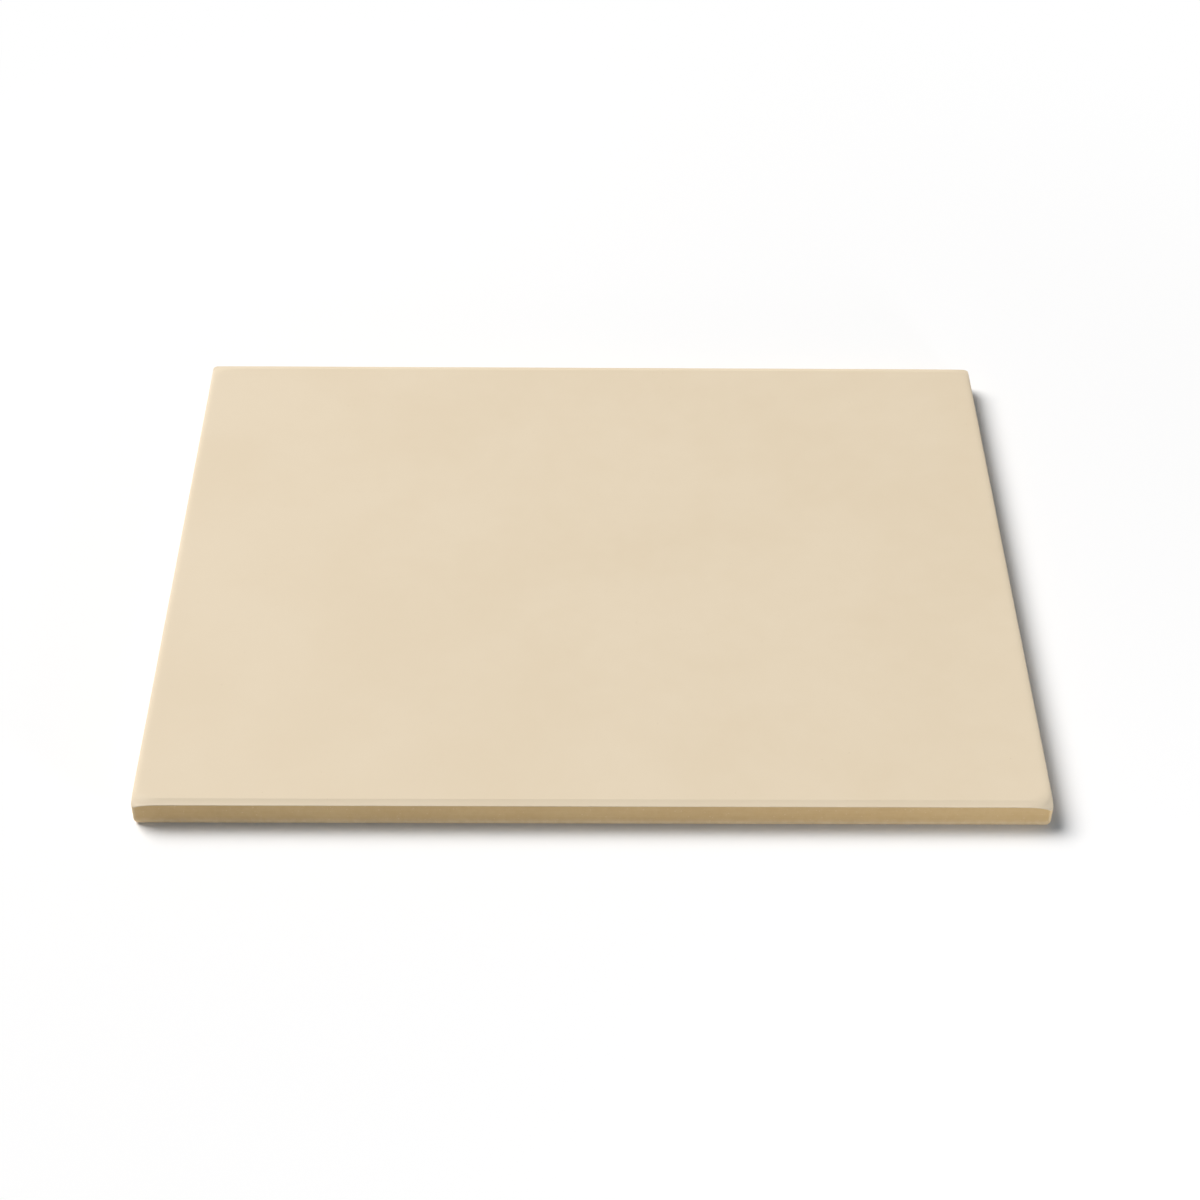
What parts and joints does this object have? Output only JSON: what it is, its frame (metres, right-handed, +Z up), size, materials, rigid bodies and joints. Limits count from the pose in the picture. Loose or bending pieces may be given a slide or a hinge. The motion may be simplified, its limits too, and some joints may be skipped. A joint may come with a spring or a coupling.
{
  "type": "pizza stone",
  "caption": "Flat rectangular pizza stone: a tan fired cordierite slab with softened edges and a cream satin glaze over its baking face.",
  "frame": {"origin": "under the middle of the slab, in the plane of the underside that it rests on", "axes": "+X along the long side, +Y from the front edge towards the back edge, +Z up out of the baking face"},
  "size_m": [0.38, 0.3, 0.0125],
  "materials": {
    "bare_cordierite": "matte, fine fired grain",
    "cream_glaze": "satin, faintly mottled"
  },
  "bodies": {
    "root": {"stone_body": "bare_cordierite", "glaze_coat": "cream_glaze"}
  },
  "joints": []
}
